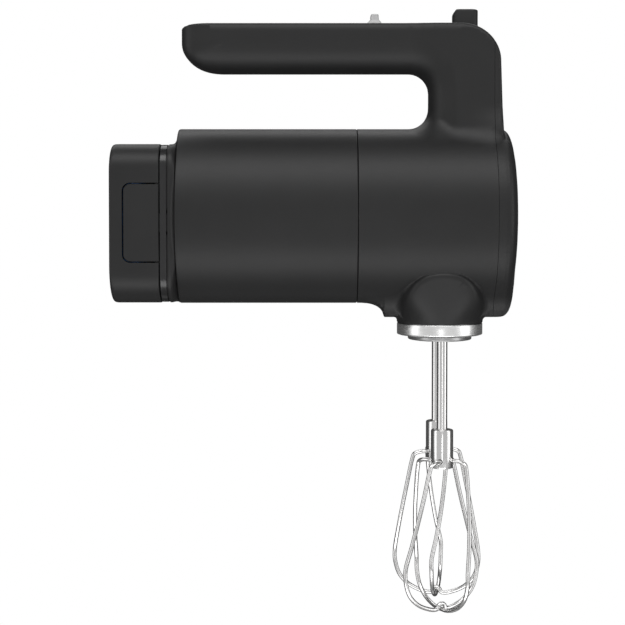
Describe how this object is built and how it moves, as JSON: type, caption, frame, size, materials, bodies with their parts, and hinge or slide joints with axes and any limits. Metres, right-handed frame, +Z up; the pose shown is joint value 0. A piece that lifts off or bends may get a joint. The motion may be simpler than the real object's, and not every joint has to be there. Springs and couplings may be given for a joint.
{
  "type": "hand mixer",
  "caption": "Cordless hand mixer: oval motor barrel with a free-ended handle, slide-off battery, thumb slider, eject button and intermeshing wire beaters.",
  "frame": {"origin": "on the underside of the base plate, midway between the two beaters", "axes": "+Z up from the beaters to the handle, +X towards the domed front, -X towards the battery"},
  "size_m": [0.2439, 0.0914, 0.3648],
  "materials": {
    "black_shell": "fine matte texture",
    "dark_plastic": "smooth, slightly glossy",
    "grey_plastic": "matte dark grey",
    "silver_plastic": "satin silver-grey",
    "brushed_ring": "brushed around the ring",
    "bright_wire": "polished stainless steel",
    "machined_steel": "ground steel",
    "zinc": "die-cast and plated, satin",
    "bronze": "sintered bronze and plated copper",
    "nylon": "unfilled nylon, satin",
    "ferrite": "sintered ferrite, matt",
    "board": "solder-masked board with parts",
    "cell_wrap": "shrink-wrapped cells"
  },
  "bodies": {
    "housing": {"front_housing_near": "black_shell", "front_housing_far": "black_shell", "housing_screw_1": "zinc", "housing_screw_2": "zinc", "housing_screw_3": "zinc", "front_cap": "black_shell", "rear_housing": "black_shell", "collar_ring": "brushed_ring", "base_plate": "grey_plastic", "gearbox_frame": "zinc", "gearbox_cover": "zinc", "gearbox_screw_1": "zinc", "gearbox_screw_2": "zinc", "gearbox_screw_3": "zinc", "gearbox_screw_4": "zinc", "near_lower_bushing": "bronze", "near_upper_bushing": "bronze", "far_lower_bushing": "bronze", "far_upper_bushing": "bronze", "worm_front_bearing": "machined_steel", "worm_rear_bearing": "machined_steel", "motor_can": "zinc", "motor_end_bell": "dark_plastic", "motor_rear_bearing": "machined_steel", "upper_magnet": "ferrite", "lower_magnet": "ferrite", "control_board": "board", "speed_switch": "dark_plastic", "battery_dock": "black_shell", "dock_terminals": "bronze", "eject_spring": "machined_steel"},
    "near_spindle": {"near_spindle": "machined_steel", "near_worm_wheel": "nylon"},
    "far_spindle": {"far_spindle": "machined_steel", "far_worm_wheel": "nylon"},
    "rotor": {"armature": "machined_steel", "cooling_fan": "dark_plastic", "worm": "machined_steel"},
    "near_beater": {"near_beater_shaft": "bright_wire", "near_beater_collar": "bright_wire", "near_beater_loop_a": "bright_wire", "near_beater_loop_b": "bright_wire"},
    "far_beater": {"far_beater_shaft": "bright_wire", "far_beater_collar": "bright_wire", "far_beater_loop_a": "bright_wire", "far_beater_loop_b": "bright_wire"},
    "speed_slider": {"speed_slider": "silver_plastic"},
    "ejector": {"eject_button": "black_shell", "eject_rod": "nylon", "eject_yoke": "nylon"},
    "battery": {"battery_case": "black_shell", "battery_front_plate": "dark_plastic", "battery_terminals": "dark_plastic", "battery_cell_1": "cell_wrap", "battery_cell_2": "cell_wrap", "battery_cell_3": "cell_wrap", "near_latch_spring": "machined_steel", "far_latch_spring": "machined_steel"},
    "near_latch": {"near_latch": "black_shell"},
    "far_latch": {"far_latch": "black_shell"}
  },
  "joints": [
    {"name": "near_spindle_spin", "type": "hinge", "parent": "housing", "child": "near_spindle", "pos_m": [0, -0.02, 0], "axis": [0, 0, 1], "continuous": true},
    {"name": "far_spindle_spin", "type": "hinge", "parent": "housing", "child": "far_spindle", "pos_m": [0, 0.02, 0], "axis": [0, 0, 1], "continuous": true},
    {"name": "motor_spin", "type": "hinge", "parent": "housing", "child": "rotor", "pos_m": [0, 0, 0.0753], "axis": [1, 0, 0], "continuous": true},
    {"name": "near_beater_release", "type": "slide", "parent": "near_spindle", "child": "near_beater", "axis": [0, 0, -1], "range_m": [0, 0.05]},
    {"name": "far_beater_release", "type": "slide", "parent": "far_spindle", "child": "far_beater", "axis": [0, 0, -1], "range_m": [0, 0.05]},
    {"name": "speed_slide", "type": "slide", "parent": "housing", "child": "speed_slider", "axis": [1, 0, 0], "range_m": [0, 0.018]},
    {"name": "eject_press", "type": "slide", "parent": "housing", "child": "ejector", "axis": [0, 0, -1], "range_m": [0, 0.006], "stiffness_N_per_m": 500, "springref_m": -0.002, "deforming": ["eject_spring"]},
    {"name": "battery_slide", "type": "slide", "parent": "housing", "child": "battery", "axis": [-1, 0, 0], "range_m": [0, 0.05]},
    {"name": "near_latch_press", "type": "slide", "parent": "battery", "child": "near_latch", "axis": [0, 1, 0], "range_m": [0, 0.0015], "stiffness_N_per_m": 600, "springref_m": -0.001, "deforming": ["near_latch_spring"]},
    {"name": "far_latch_press", "type": "slide", "parent": "battery", "child": "far_latch", "axis": [0, -1, 0], "range_m": [0, 0.0015], "stiffness_N_per_m": 600, "springref_m": -0.001, "deforming": ["far_latch_spring"]}
  ],
  "couplings": [
    {"joint": "far_spindle_spin", "follows": "near_spindle_spin", "ratio": -1},
    {"joint": "motor_spin", "follows": "near_spindle_spin", "ratio": 15}
  ]
}
